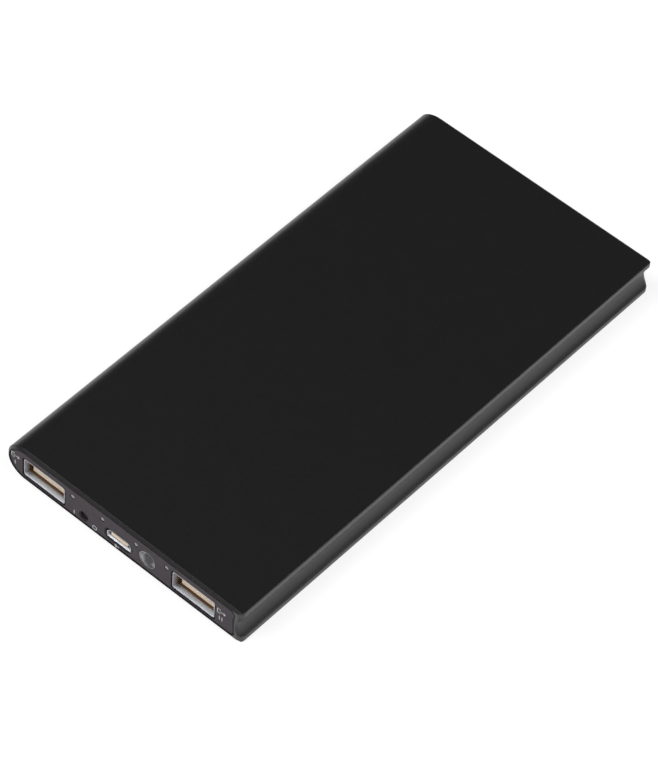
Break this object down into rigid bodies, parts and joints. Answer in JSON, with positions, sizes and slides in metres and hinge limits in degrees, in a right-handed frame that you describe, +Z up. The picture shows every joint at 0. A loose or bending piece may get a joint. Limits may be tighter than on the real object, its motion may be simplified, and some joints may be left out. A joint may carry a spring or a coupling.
{
  "type": "power bank",
  "caption": "Slim book-shaped power bank: black aluminium sleeve with a rounded spine and a hollowed fore edge, with sockets, a button, a torch and indicators at one end.",
  "frame": {"origin": "centre of the bounding box's bottom face, on the flat underside", "axes": "+X across the width, from the rounded spine towards the hollowed side; +Y along the length, from the socket end to the plain end; +Z up through the thickness"},
  "size_m": [0.075, 0.15, 0.011],
  "materials": {
    "anodised_black": "fine bead-blasted black anodised",
    "plate_plastic": "satin charcoal moulded plastic",
    "frame_plastic": "black moulded plastic",
    "screw_steel": "zinc-plated, dark",
    "board_green": "solder mask",
    "film_amber": "polyimide film",
    "nickel_steel": "nickel-plated pressed sheet",
    "ivory_plastic": "ivory moulded plastic",
    "gold_contact": "gold flash",
    "clear_epoxy": "water-clear cast epoxy",
    "led_leads": "tinned",
    "button_plastic": "satin black",
    "chip_black": "matte moulded",
    "light_pipe": "milky clear",
    "led_white": "unlit",
    "ferrite_grey": "pressed powder",
    "capacitor_tan": "fired",
    "cell_foil": "laminated foil",
    "foam_grey": "closed-cell foam",
    "wire_red": "silicone insulation",
    "wire_black": "silicone insulation"
  },
  "bodies": {
    "bank": {"case_sleeve": "anodised_black", "front_panel": "plate_plastic", "rear_panel": "plate_plastic", "front_frame": "frame_plastic", "rear_frame": "frame_plastic", "front_screw_left": "screw_steel", "front_screw_right": "screw_steel", "rear_screw_left": "screw_steel", "rear_screw_right": "screw_steel", "circuit_board": "board_green", "board_insulating_film": "film_amber", "usb_left_shell": "nickel_steel", "usb_left_insulator": "ivory_plastic", "usb_left_contact_1": "gold_contact", "usb_left_contact_2": "gold_contact", "usb_left_contact_3": "gold_contact", "usb_left_contact_4": "gold_contact", "usb_right_shell": "nickel_steel", "usb_right_insulator": "ivory_plastic", "usb_right_contact_1": "gold_contact", "usb_right_contact_2": "gold_contact", "usb_right_contact_3": "gold_contact", "usb_right_contact_4": "gold_contact", "micro_usb_shell": "nickel_steel", "micro_usb_insulator": "ivory_plastic", "micro_usb_contact_1": "gold_contact", "micro_usb_contact_2": "gold_contact", "micro_usb_contact_3": "gold_contact", "micro_usb_contact_4": "gold_contact", "micro_usb_contact_5": "gold_contact", "torch_led_lens": "clear_epoxy", "torch_led_anode": "led_leads", "torch_led_cathode": "led_leads", "switch_body": "chip_black", "switch_snap_disc": "nickel_steel", "light_pipe_1": "light_pipe", "indicator_led_1": "led_white", "light_pipe_2": "light_pipe", "indicator_led_2": "led_white", "light_pipe_3": "light_pipe", "indicator_led_3": "led_white", "light_pipe_4": "light_pipe", "indicator_led_4": "led_white", "boost_inductor": "ferrite_grey", "controller_chip": "chip_black", "charger_chip": "chip_black", "output_capacitor_1": "capacitor_tan", "output_capacitor_2": "capacitor_tan", "battery_cell_lower": "cell_foil", "battery_cell_upper": "cell_foil", "cell_adhesive_pad": "foam_grey", "battery_tape_band": "film_amber", "battery_end_foam": "foam_grey", "battery_lead_positive": "wire_red", "battery_lead_negative": "wire_black", "battery_tab_positive": "nickel_steel", "battery_tab_negative": "nickel_steel", "protection_board": "board_green"},
    "button": {"power_button": "button_plastic", "switch_plunger": "button_plastic"}
  },
  "joints": [
    {"name": "button_press", "type": "slide", "parent": "bank", "child": "button", "axis": [0, 1, 0], "range_m": [0, 0.0003], "stiffness_N_per_m": 1500}
  ]
}
